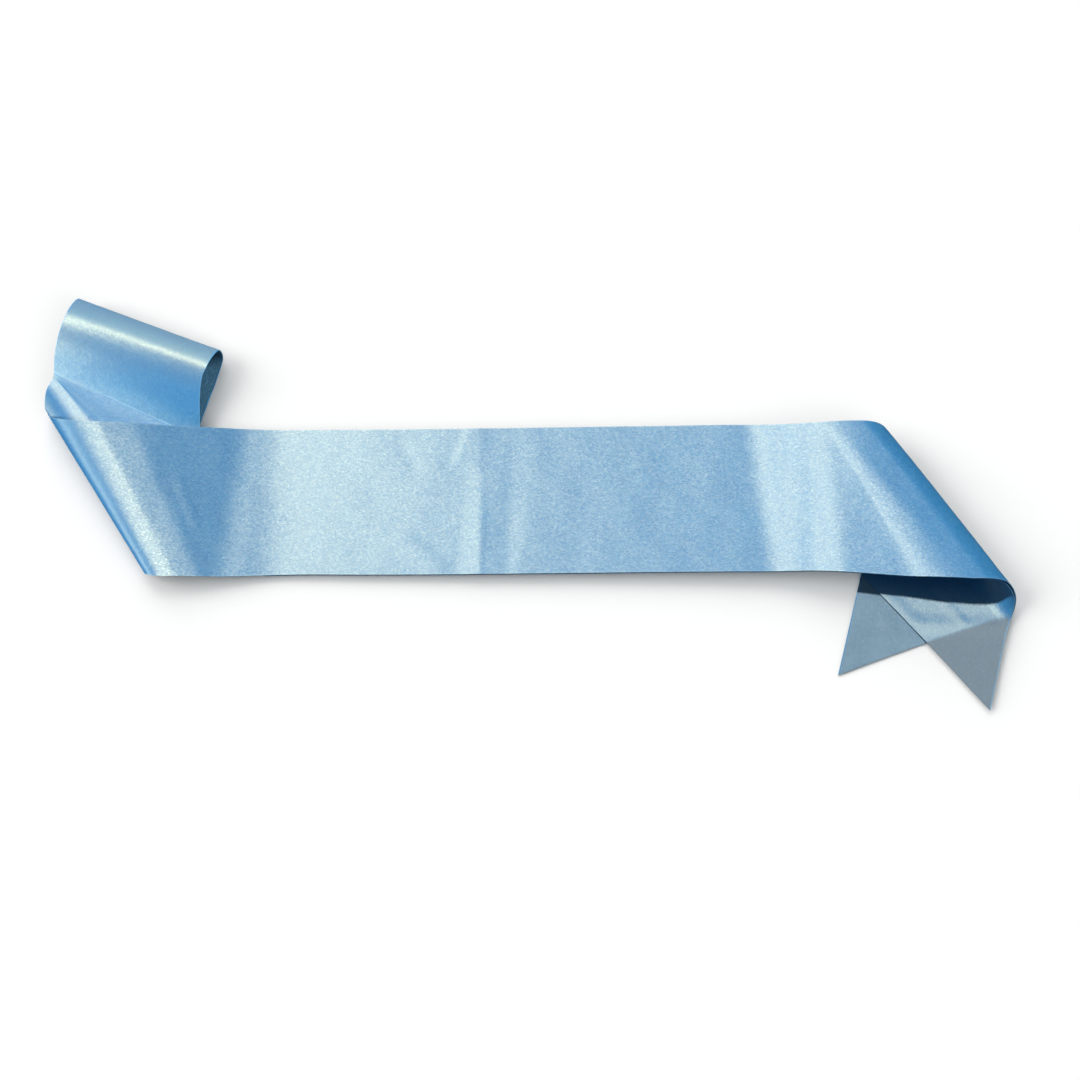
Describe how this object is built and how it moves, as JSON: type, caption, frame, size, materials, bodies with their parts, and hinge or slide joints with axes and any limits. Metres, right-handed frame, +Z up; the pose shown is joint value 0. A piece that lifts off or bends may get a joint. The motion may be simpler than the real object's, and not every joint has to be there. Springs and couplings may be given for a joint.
{
  "type": "satin sash",
  "caption": "Plain satin sash, a long strip with slanted ends, folded like a banner with a loop at the shoulder, lying flat.",
  "frame": {"origin": "on the surface that the sash lies on, under the middle of its outline", "axes": "+X along the front panel from the shoulder loop towards the cut ends, +Y away from the panel's near edge towards the shoulder loop, +Z up"},
  "size_m": [0.6369, 0.2768, 0.0263],
  "materials": {
    "sky_satin": "light blue satin, glossy on one side"
  },
  "bodies": {
    "root": {"front_panel": "sky_satin", "shoulder_loop": "sky_satin", "front_tail": "sky_satin", "back_tail": "sky_satin", "hidden_layer": "sky_satin"}
  },
  "joints": []
}
